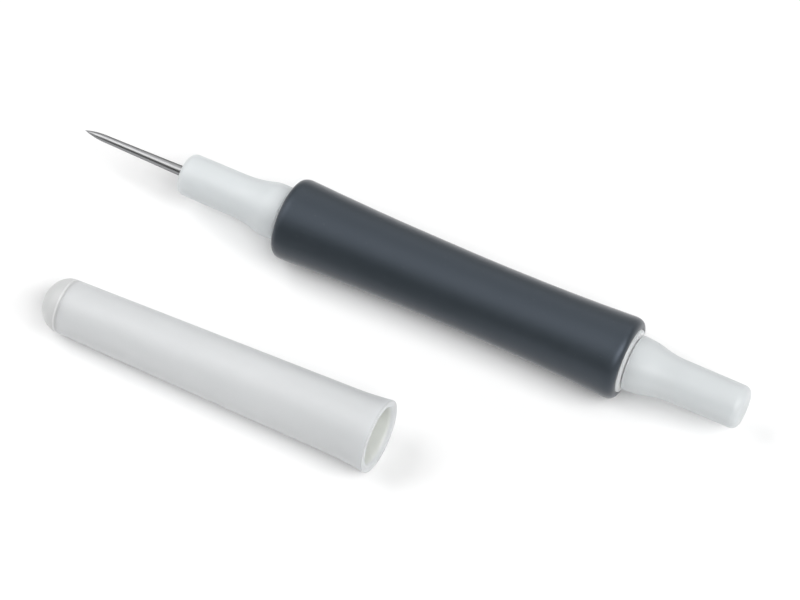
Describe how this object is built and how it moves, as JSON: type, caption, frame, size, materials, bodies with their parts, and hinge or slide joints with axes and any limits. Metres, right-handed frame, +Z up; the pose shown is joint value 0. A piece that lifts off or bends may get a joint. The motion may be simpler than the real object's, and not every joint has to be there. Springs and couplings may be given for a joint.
{
  "type": "die pick",
  "caption": "Craft pick with a tapered steel needle, a waisted soft grip on a moulded core, and a long domed cap lying pulled off beside it.",
  "frame": {"origin": "middle of the base of the box round the pick and its cap, as both lie on a surface", "axes": "+X from the needle's point to the tail, along the pick; +Y from the cap's side to the pick's side; +Z up"},
  "size_m": [0.15, 0.0542, 0.0174],
  "materials": {
    "needle_steel": "ground and polished steel",
    "plug_plastic": "cloudy bluish white, satin",
    "core_plastic": "white, satin",
    "grip_rubber": "dark slate blue-grey, soft matte",
    "cap_plastic": "pale grey-white, satin",
    "dome_plastic": "pale grey, satin"
  },
  "bodies": {
    "pick": {"needle": "needle_steel", "nose_plug": "plug_plastic", "core_tube": "core_plastic", "tail_plug": "plug_plastic", "grip_sleeve": "grip_rubber"},
    "cap": {"cap_barrel": "cap_plastic", "cap_end": "dome_plastic"}
  },
  "joints": [
    {"name": "cap_pull", "type": "slide", "parent": "pick", "child": "cap", "axis": [-1, 0, 0], "range_m": [0, 0.09]}
  ]
}
